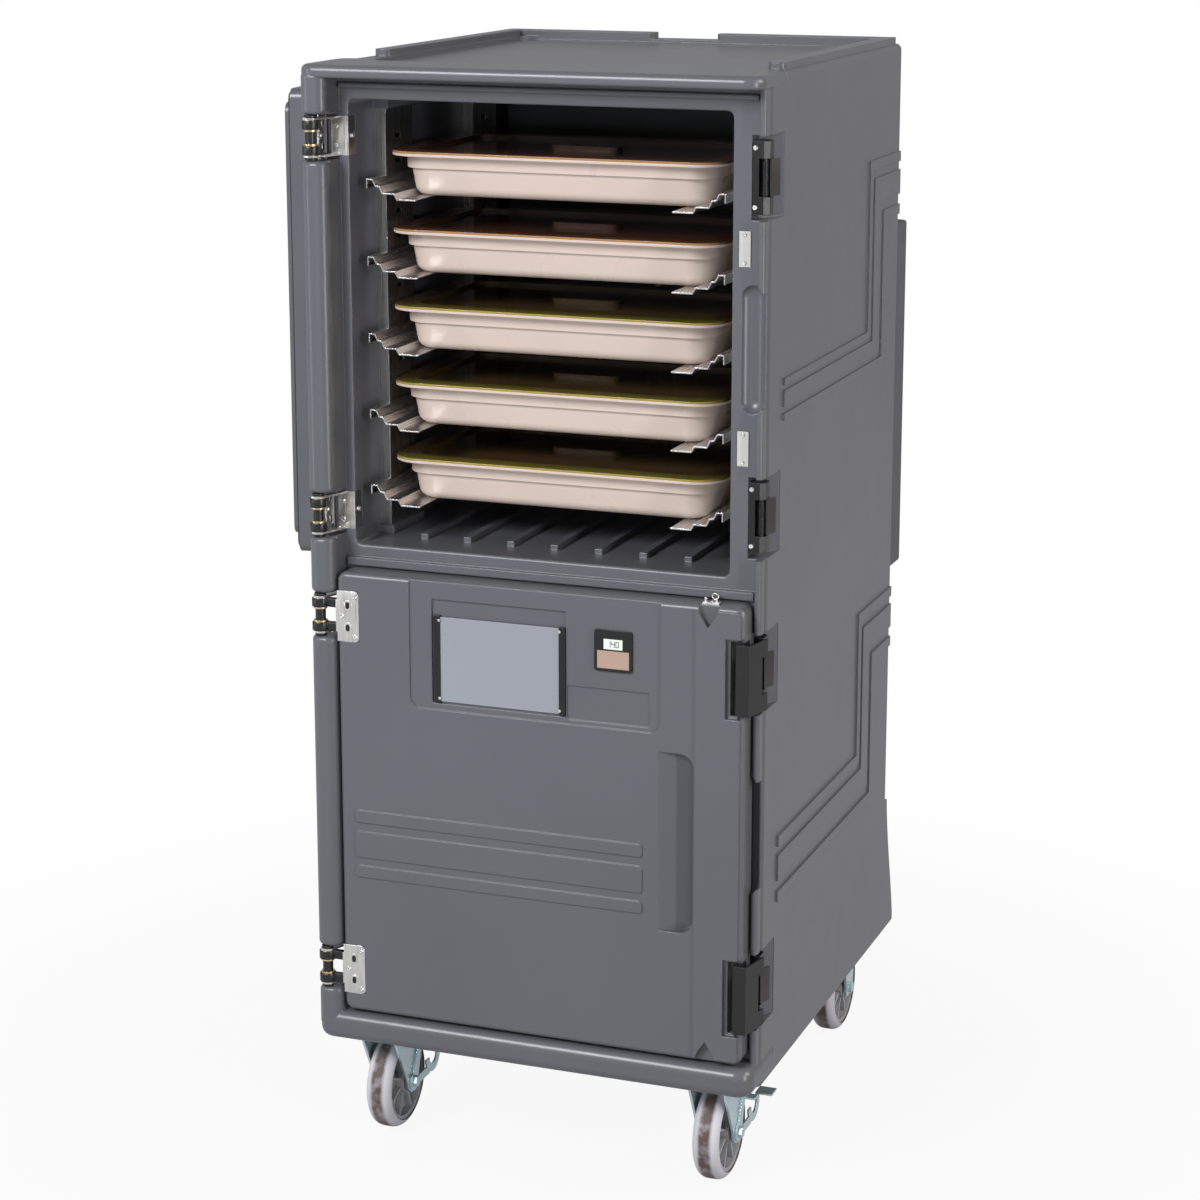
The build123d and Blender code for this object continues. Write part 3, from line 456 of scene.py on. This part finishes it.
def makeSpringTree():  # wire springs, upright
    sizes = {"Radius": 0.005, "Height": 0.04, "Wire": 0.0009, "Turns": 9.0, "Sides": 8}
    tree, start, end = newTree("wireSprings", sizes)
    coil = addNode(tree, "GeometryNodeCurveSpiral", Resolution=14)
    feed(tree, start, coil, {"Turns": "Rotations", "Radius": "Start Radius", "Height": "Height"})
    feed(tree, start, coil, {"Radius": "End Radius"})
    wire = tree.nodes.new("GeometryNodeCurvePrimitiveCircle")
    feed(tree, start, wire, {"Sides": "Resolution", "Wire": "Radius"})
    tube = addNode(tree, "GeometryNodeCurveToMesh")
    tube.inputs["Fill Caps"].default_value = True
    tree.links.new(coil.outputs["Curve"], tube.inputs["Curve"])
    tree.links.new(wire.outputs["Curve"], tube.inputs["Profile Curve"])
    return endTree(tree, start, end, tube.outputs["Mesh"], turned=False)


def makeRibTree():  # flat ribs, long in the direction that they face
    tree, start, end = newTree("wheelRibs", {"Length": 0.038, "Width": 0.011, "Thickness": 0.004})
    rib = tree.nodes.new("GeometryNodeMeshCube")
    size = tree.nodes.new("ShaderNodeCombineXYZ")
    feed(tree, start, size, {"Width": 0, "Thickness": 1, "Length": 2})
    tree.links.new(size.outputs[0], rib.inputs["Size"])
    return endTree(tree, start, end, rib.outputs["Mesh"])


def grow(name, tree, points, material, body, slotName, sharp=sharpAngle, **sizes):  # points: (place, facing)
    mesh = bpy.data.meshes.new(name + "Points")
    mesh.from_pydata([tuple(p) for p, _ in points], [], [])
    facing = mesh.attributes.new("facing", "FLOAT_VECTOR", "POINT")
    for k, (_, direction) in enumerate(points):
        facing.data[k].vector = direction
    seed = bpy.data.objects.new(name + "Points", mesh)
    bpy.context.scene.collection.objects.link(seed)
    modifier = seed.modifiers.new("grow", "NODES")
    modifier.node_group = tree
    sockets = {s.name: s.identifier for s in tree.interface.items_tree if s.in_out == "INPUT"}
    for label, value in sizes.items():
        modifier[sockets[label]] = value
    modifier[sockets["Finish"]] = material
    bpy.context.view_layer.update()
    graph = bpy.context.evaluated_depsgraph_get()
    made = bpy.data.meshes.new_from_object(seed.evaluated_get(graph), depsgraph=graph)
    made.name = name
    seed.modifiers.remove(modifier)
    bpy.data.objects.remove(seed)
    return placeMesh(name, made, material, body, sharp)


screwTree = makeScrewTree()
ringTree = makeRingTree()
springTree = makeSpringTree()
ribTree = makeRibTree()
print("node trees built")


# Door leaves: knuckles on arms, sleeves, washers, plates with oval dimples and screws; a black oval in each
# dimple is painted shade of its hollow
leaf = {
    "knuckle": 13.0, "knuckleEdge": 0.8, "arcFrom": 32.6, "arcTo": 346.7, "arcSteps": 30,
    "armFront": -378.0, "armBack": -368.0, "armIn": 1.0, "inner": 12.0, "outer": 25.5,
    "plateRight": -273.0, "plateHalf": 39.5, "plateDepth": (-1.0, 1.9), "plateEdge": 0.5,
    "corner": 7.0, "cornerSteps": 6, "plateIn": 0.3, "tabOut": 2.0, "tabShort": 0.5,
    "screws": ((-279.5, 31.0), (-279.5, -31.0), (-301.0, 0.0)), "dimples": ((-291.0, 17.5), (-291.0, -17.5)),
    "rim": (12.0, 17.0), "rimDepth": (-1.7, -0.5), "dimpleShadeOval": (6.5, 11.0), "dimpleShadeDepth": (-1.95, -0.6),
    "washerOffset": 10.5, "washer": {"Radius": 0.0105, "Height": 0.003},
    "sleeve": {"Radius": 0.008, "Height": 0.018},
    "screw": {"Radius": 0.0042, "Height": 0.0014, "Slot": 0.001},
}


def strapOutline():  # an arm with its knuckle round the pin, in plan
    armLeft = cart["doorLeft"] + leaf["armIn"]
    knuckle = arc(*cart["pin"], leaf["knuckle"], leaf["arcFrom"], leaf["arcTo"], leaf["arcSteps"])
    return [(armLeft, leaf["armFront"]), (armLeft, leaf["armBack"])] + knuckle


def plateOutline(level):  # a plate with two round corners and a tab towards the knuckles, in the front view
    right, half, r, steps = leaf["plateRight"], leaf["plateHalf"], leaf["corner"], leaf["cornerSteps"]
    left = cart["doorLeft"] + leaf["plateIn"]
    tabLeft = cart["doorLeft"] - leaf["tabOut"]
    tab = leaf["outer"] - leaf["tabShort"]
    return [(left, level - half), *arc(right - r, level - half + r, r, 270, 360, steps),
            *arc(right - r, level + half - r, r, 0, 90, steps), (left, level + half), (left, level + tab),
            (tabLeft, level + tab), (tabLeft, level - tab), (left, level - tab)]


def makeLeaves(door):
    body = door + "_door"
    turn = doorPlace[door]
    knuckles = bmesh.new()
    plates = bmesh.new()
    rims = bmesh.new()
    paintedDimpleShade = bmesh.new()
    for level in hinges[door]:
        for low, high in ((leaf["inner"], leaf["outer"]), (-leaf["outer"], -leaf["inner"])):
            prism(knuckles, strapOutline(), level + low, level + high, True, leaf["knuckleEdge"])
        prism(plates, plateOutline(level), *onDoor(leaf["plateDepth"]), False, leaf["plateEdge"])
        for x, z in leaf["dimples"]:
            rim = oval(x, level + z, *leaf["rim"])
            dimpleShadeOval = oval(x, level + z, *leaf["dimpleShadeOval"])
            prism(rims, rim, *onDoor(leaf["rimDepth"]), False, leaf["plateEdge"])
            # painted shade: a flat black oval stands in for the shade in the dimple's hollow
            prism(paintedDimpleShade, dimpleShadeOval, *onDoor(leaf["dimpleShadeDepth"]), False)
    piece = newPiece(door + "Knuckles", knuckles, hingeBlack, body, turn)
    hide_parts(door + "_door_leaves")
    newPiece(door + "LeafPlates", plates, plateSteel, body, turn)
    newPiece(door + "LeafDimples", rims, plateSteel, body, turn)
    newPiece(door + "LeafDimpleShade", paintedDimpleShade, catchBlack, body, turn)
    offset = leaf["washerOffset"]
    spots = [(turn @ at(*cart["pin"], z + s), up) for z in hinges[door] for s in (offset, -offset)]
    grow(door + "Washers", ringTree, spots, washerBrass, body, "stainless", **leaf["washer"])
    spots = [(turn @ at(*cart["pin"], z), up) for z in hinges[door]]
    grow(door + "Sleeves", ringTree, spots, hingeBlack, body, "hinge_black", **leaf["sleeve"])
    out = (turn.to_3x3() @ front).normalized()
    plateFront = onDoor(leaf["plateDepth"])[0]
    spots = [(turn @ at(x, plateFront, level + z), out) for level in hinges[door] for x, z in leaf["screws"]]
    grow(door + "LeafScrews", screwTree, spots, plateSteel, body, "stainless", **leaf["screw"])


for door in doors:
    makeLeaves(door)
print("door leaves made")


# Screws of the hinge brackets, strikes, catches and heater module, and a brass ring outside each knuckle
fixing = {
    "bracketX": -318.5, "bracketZ": 14.0, "boltX": -298.0, "boltY": -317.0,
    "bracketScrew": {"Radius": 0.0046, "Height": 0.0028, "Slot": 0.0012},
    "strikeX": 317.5, "strikeZ": 20.0, "strikeOut": 1.5,
    "strikeScrew": {"Radius": 0.0031, "Height": 0.0012, "Slot": 0.0008},
    "catchX": 331.0, "catchZ": 42.0, "catchIn": 0.9,
    "catchScrew": {"Radius": 0.0038, "Height": 0.0022, "Slot": 0.001},
    "moduleInset": 26.0, "moduleScrew": {"Radius": 0.0042, "Height": 0.0024, "Slot": 0.001},
    "ringZ": 25.75, "ring": {"Radius": 0.0115, "Height": 0.0005},
}


def fixToCabinet(name, tree, spots, material, sizes):
    grow(name, tree, spots, material, "cabinet", "stainless", **sizes)


def makeCabinetScrews():
    levels = hinges["lower"] + hinges["upper"]
    spots = []
    for level in levels:
        for s in (-fixing["bracketZ"], fixing["bracketZ"]):
            spots.append((at(fixing["bracketX"], cart["faceY"], level + s), front))
        spots.append((at(fixing["boltX"], fixing["boltY"], level), rightward))
    fixToCabinet("bracketScrews", screwTree, spots, plateSteel, fixing["bracketScrew"])
    spots = [(at(fixing["strikeX"], cart["faceY"] - fixing["strikeOut"], centre + side + end), front)
             for centre in cart["doorLevels"].values()
             for side in (-cart["strikeOffset"], cart["strikeOffset"])
             for end in (-fixing["strikeZ"], fixing["strikeZ"])]
    fixToCabinet("strikeScrews", screwTree, spots, plateSteel, fixing["strikeScrew"])
    spots = [(at(fixing["catchX"], cart["faceY"] + fixing["catchIn"], level + end), front)
             for level in latches["lower"] + latches["upper"]
             for end in (-fixing["catchZ"], fixing["catchZ"])]
    fixToCabinet("catchScrews", screwTree, spots, plateSteel, fixing["catchScrew"])
    low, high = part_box("heater_housing")
    inset = fixing["moduleInset"] / 1000
    spots = [(Vector((x, high.y, z)), backward) for x in (low.x + inset, high.x - inset)
             for z in (low.z + inset, (low.z + high.z) / 2, high.z - inset)]
    fixToCabinet("moduleScrews", screwTree, spots, plateSteel, fixing["moduleScrew"])
    spots = [(at(*cart["pin"], level + s), up) for level in levels
             for s in (-fixing["ringZ"], fixing["ringZ"])]
    fixToCabinet("earRings", ringTree, spots, washerBrass, fixing["ring"])


makeCabinetScrews()


# Catches: a spring round each cross bar and a bare tongue plate
catch = {
    "x": 326.0, "tongue": ((20.6, 15.2), (23.8, 10.5), (31.4, 34.2), (27.8, 35.4)), "tongueHalf": 26.4,
    "tongueEdge": 0.4, "barX": 17.0, "barY": 9.0, "springHalf": 24.0, "springSharp": 80,
    "spring": {"Radius": 0.0048, "Wire": 0.0008, "Turns": 14.0},
}


def makeCatches():
    tongues = bmesh.new()
    spots = []
    outline = [(catch["x"] + u, cart["faceY"] + v) for u, v in catch["tongue"]]
    half = catch["tongueHalf"]
    for level in latches["lower"] + latches["upper"]:
        prism(tongues, outline, level - half, level + half, True, catch["tongueEdge"])
        foot = at(catch["x"] + catch["barX"], cart["faceY"] + catch["barY"], level - catch["springHalf"])
        spots.append((foot, up))
    newPiece("catchTongues", tongues, tongueTaupe, "cabinet")
    grow("catchSprings", springTree, spots, catchBlack, "cabinet", "hinge_black", catch["springSharp"],
         Height=2 * catch["springHalf"] / 1000, **catch["spring"])


makeCatches()


# Rivets at the card panel's corners
card = {
    "rivets": ((-141.0, 750.0), (-141.0, 871.0), (52.0, 750.0), (52.0, 871.0)), "rivetOut": 0.4,
    "rivet": {"Radius": 0.0022, "Height": 0.0012, "Sides": 18},
}


def makeCardRivets():
    spots = [(at(x, cart["doorFront"] - card["rivetOut"], z), front) for x, z in card["rivets"]]
    grow("cardRivets", ringTree, spots, plateSteel, "lower_door", "stainless", **card["rivet"])


makeCardRivets()


# Thermometer: a pale screen with a plain reading in bars
thermometer = {
    "middle": (136.5, 860.0), "half": (14.6, 7.6), "screenDepth": (-0.62, -0.3), "reading": "140",
    "digit": (5.2, 9.0), "bar": 1.0, "firstDigit": -9.2, "digitStep": 6.6, "digitDepth": (-0.7, -0.5),
}
barsOfSign = {"1": "bc", "4": "fgbc", "0": "abcdef"}


def makeThermometer():
    cx, cz = thermometer["middle"]
    halfX, halfZ = thermometer["half"]
    glass = bmesh.new()
    prism(glass, panel(cx - halfX, cz - halfZ, cx + halfX, cz + halfZ), *onDoor(thermometer["screenDepth"]),
          False)
    newPiece("thermometerScreen", glass, screenPale, "lower_door")
    w, h = thermometer["digit"]
    t = thermometer["bar"]
    middle = h / 2
    places = {"a": (0, h - t, w, h), "b": (w - t, middle, w, h), "c": (w - t, 0, w, middle),
              "d": (0, 0, w, t), "e": (0, 0, t, middle), "f": (0, middle, t, h),
              "g": (0, middle - t / 2, w, middle + t / 2)}
    digits = bmesh.new()
    for k, sign in enumerate(thermometer["reading"]):
        x = cx + thermometer["firstDigit"] + thermometer["digitStep"] * k
        z = cz - middle
        for bar in barsOfSign[sign]:
            u0, v0, u1, v1 = places[bar]
            prism(digits, panel(x + u0, z + v0, x + u1, z + v1), *onDoor(thermometer["digitDepth"]), False)
    newPiece("thermometerDigits", digits, screenBlack, "lower_door")


makeThermometer()


# Sealing eye above the lower door: a wire ring on a short stem
eye = {
    "middle": (283.0, 938.0), "radius": 4.6, "wire": 1.1, "out": 16.0, "around": 32, "round": 10,
    "stem": 1.6, "stemDrop": 0.4, "stemArc": 330, "stemSteps": 11, "stemFrom": 16.6, "stemTo": 7.0,
}


def makeSealEye():
    ex, ez = eye["middle"]
    around, wireSides = eye["around"], eye["round"]
    ring = bmesh.new()
    loops = []
    for k in range(around):
        a = 2 * pi * k / around
        loop = []
        for t in range(wireSides):
            b = 2 * pi * t / wireSides
            reach = eye["radius"] + eye["wire"] * cos(b)
            depth = cart["faceY"] - eye["out"] + eye["wire"] * sin(b)
            loop.append(ring.verts.new(at(ex + reach * cos(a), depth, ez + reach * sin(a))))
        loops.append(loop)
    for k in range(around):
        here, there = loops[k], loops[(k + 1) % around]
        for t in range(wireSides):
            after = (t + 1) % wireSides
            ring.faces.new([here[t], there[t], there[after], here[after]])
    stem = arc(ex, ez - eye["radius"] - eye["stemDrop"], eye["stem"], 0, eye["stemArc"], eye["stemSteps"])
    prism(ring, stem, cart["faceY"] - eye["stemFrom"], cart["faceY"] - eye["stemTo"], False)
    newPiece("sealEye", ring, plateSteel, "cabinet")


makeSealEye()
print("fittings made")


# Wheel ribs between hub and rim, on both faces
wheel = {
    "x": {"left": -272.0, "right": 272.0}, "axles": {"front": -273.0, "rear": 355.0}, "height": 76.0,
    "ribMiddle": 38.0, "ribOffset": 11.0, "ribCount": 8,
}


def makeRibs(end, side):
    spots = []
    for k in range(wheel["ribCount"]):
        a = 2 * pi * (k + 0.5) / wheel["ribCount"]
        out = Vector((0, cos(a), sin(a)))
        for offset in (-wheel["ribOffset"], wheel["ribOffset"]):
            hub = at(wheel["x"][side] + offset, wheel["axles"][end], wheel["height"])
            spots.append((hub + out * wheel["ribMiddle"] / 1000, out))
    name = "%s_wheel_%s" % (end, side)
    grow(end + side.capitalize() + "Ribs", ribTree, spots, wheelGrey, name, "wheel_plastic")


for end in ends:
    for side in sides:
        makeRibs(end, side)
print("wheel ribs made")


# Stage, light and camera

studio = {
    "floorHalf": 60.0, "floorDrop": 0.0005, "floorGrey": 0.32, "floorRough": 0.9,
    "clearNear": 0.92, "clearFrom": 0.7, "clearTo": 1.7, "worldLight": 0.1, "mirrored": 0.36,
}


def seenDirectly(tree):  # 1 for what is seen straight or through glass, and a share of it in reflections
    path = addNode(tree, "ShaderNodeLightPath")
    total = path.outputs["Is Camera Ray"]
    for label, share in (("Is Transmission Ray", 1.0), ("Is Glossy Ray", studio["mirrored"])):
        node = addNode(tree, "ShaderNodeMath", operation="MULTIPLY_ADD", use_clamp=True)
        tree.links.new(path.outputs[label], node.inputs[0])
        node.inputs[1].default_value = share
        tree.links.new(total, node.inputs[2])
        total = node.outputs[0]
    return total


def makeFloor():  # shaded close to the cart, plain white further out
    mesh = bpy.data.meshes.new("studioFloor")
    half, level = studio["floorHalf"], -studio["floorDrop"]
    corners = [(-half, -half, level), (half, -half, level), (half, half, level), (-half, half, level)]
    mesh.from_pydata(corners, [], [(0, 1, 2, 3)])
    floor = bpy.data.objects.new("studioFloor", mesh)
    bpy.context.scene.collection.objects.link(floor)
    mat, tree, shader = newMaterial("paleFloor")
    shader.inputs["Base Color"].default_value = (*[studio["floorGrey"]] * 3, 1)
    shader.inputs["Roughness"].default_value = studio["floorRough"]
    shader.inputs["Specular IOR Level"].default_value = 0.0
    out = next(n for n in tree.nodes if n.type == "OUTPUT_MATERIAL")
    away = addNode(tree, "ShaderNodeVectorMath", operation="LENGTH")
    tree.links.new(objectCoords(tree), away.inputs[0])
    clear = spread(tree, away.outputs["Value"], studio["clearNear"], 1.0, studio["clearFrom"],
                   studio["clearTo"])
    share = addNode(tree, "ShaderNodeMath", operation="MULTIPLY")
    tree.links.new(clear, share.inputs[0])
    tree.links.new(seenDirectly(tree), share.inputs[1])
    white = addNode(tree, "ShaderNodeEmission", Strength=1.0)
    mix = addNode(tree, "ShaderNodeMixShader")
    tree.links.new(share.outputs[0], mix.inputs["Fac"])
    tree.links.new(shader.outputs["BSDF"], mix.inputs[1])
    tree.links.new(white.outputs["Emission"], mix.inputs[2])
    tree.links.new(mix.outputs["Shader"], out.inputs["Surface"])
    mesh.materials.append(mat)


def makeWorld():  # white where it is seen, dim as a light
    world = bpy.data.worlds.new("softStudio")
    bpy.context.scene.world = world
    world.use_nodes = True
    tree = world.node_tree
    tree.nodes.clear()
    out = tree.nodes.new("ShaderNodeOutputWorld")
    back = addNode(tree, "ShaderNodeBackground", Color=(1, 1, 1, 1))
    level = spread(tree, seenDirectly(tree), studio["worldLight"], 1.0, 0.0, 1.0)
    tree.links.new(level, back.inputs["Strength"])
    tree.links.new(back.outputs["Background"], out.inputs["Surface"])


coolWhite = (0.95, 0.97, 1.0)
plainWhite = (1.0, 1.0, 1.0)
lamps = {
    "keySoftbox": {"place": (-1.5, -4.2, 3.6), "aim": (0, 0, 0.8), "size": (2.0, 1.6), "power": 275.0,
                   "tint": coolWhite, "mirrored": True},
    "leftStrip": {"place": (-3.0, -2.3, 1.3), "aim": (-0.3, -0.3, 1.0), "size": (0.2, 2.5), "power": 20.0,
                  "tint": plainWhite, "mirrored": True},
    "edgeStrip": {"place": (4.2, -2.2, 1.3), "aim": (0.3, -0.3, 0.9), "size": (0.25, 2.5), "power": 85.0,
                  "tint": plainWhite, "mirrored": True},
    "sideSoftbox": {"place": (4.6, 0.2, 3.6), "aim": (0, 0, 1.3), "size": (2.4, 2.2), "power": 175.0,
                    "tint": (1.0, 0.96, 0.92), "mirrored": True},
    "topSoftbox": {"place": (0.3, -0.6, 4.4), "aim": (0, 0, 1.0), "size": (2.6, 2.6), "power": 6.0,
                   "tint": (1.0, 0.98, 0.96), "mirrored": False},
    "frontFill": {"place": (0.6, -5.2, 1.1), "aim": (0, 0, 0.8), "size": (3.0, 1.6), "power": 82.0,
                  "tint": coolWhite, "mirrored": False},
    "leftFill": {"place": (-4.6, 0.8, 1.2), "aim": (0, 0.2, 0.9), "size": (2.4, 1.4), "power": 90.0,
                 "tint": plainWhite, "mirrored": False},
    "backSoftbox": {"place": (-2.6, 4.4, 0.9), "aim": (0, 0.4, 0.9), "size": (2.4, 1.4), "power": 250.0,
                    "tint": plainWhite, "mirrored": False},
}


def makeLamp(name, place, aim, size, power, tint, mirrored):
    lamp = bpy.data.lights.new(name, "AREA")
    lamp.shape = "RECTANGLE"
    lamp.size, lamp.size_y = size
    lamp.energy = power
    lamp.color = tint
    lampObject = bpy.data.objects.new(name, lamp)
    bpy.context.scene.collection.objects.link(lampObject)
    lampObject.location = place
    lampObject.visible_glossy = mirrored
    lampObject.rotation_euler = (Vector(aim) - Vector(place)).to_track_quat("-Z", "Y").to_euler()


makeFloor()
makeWorld()
for name, lamp in lamps.items():
    makeLamp(name, **lamp)

# The photograph's angle: right of the front, above the middle, with a slightly lowered frame
view = {
    "place": (1578.5, -4278.5, 1997.3), "yaw": 20.554, "pitch": 12.562, "focalPixels": 2944.6,
    "pictureWidth": 1200, "sensor": 36.0, "lower": -0.08, "farthest": 200.0,
}


def makeCamera():
    cameraData = bpy.data.cameras.new("photoCamera")
    camera = bpy.data.objects.new("photoCamera", cameraData)
    bpy.context.scene.collection.objects.link(camera)
    camera.location = at(*view["place"])
    camera.rotation_euler = (radians(90 - view["pitch"]), 0, radians(view["yaw"]))
    cameraData.sensor_width = view["sensor"]
    cameraData.lens = view["focalPixels"] / view["pictureWidth"] * view["sensor"]
    cameraData.shift_y = view["lower"]
    cameraData.clip_end = view["farthest"]
    bpy.context.scene.camera = camera


makeCamera()
bpy.context.scene.view_settings.view_transform = "Standard"
print("stage, light and camera set")
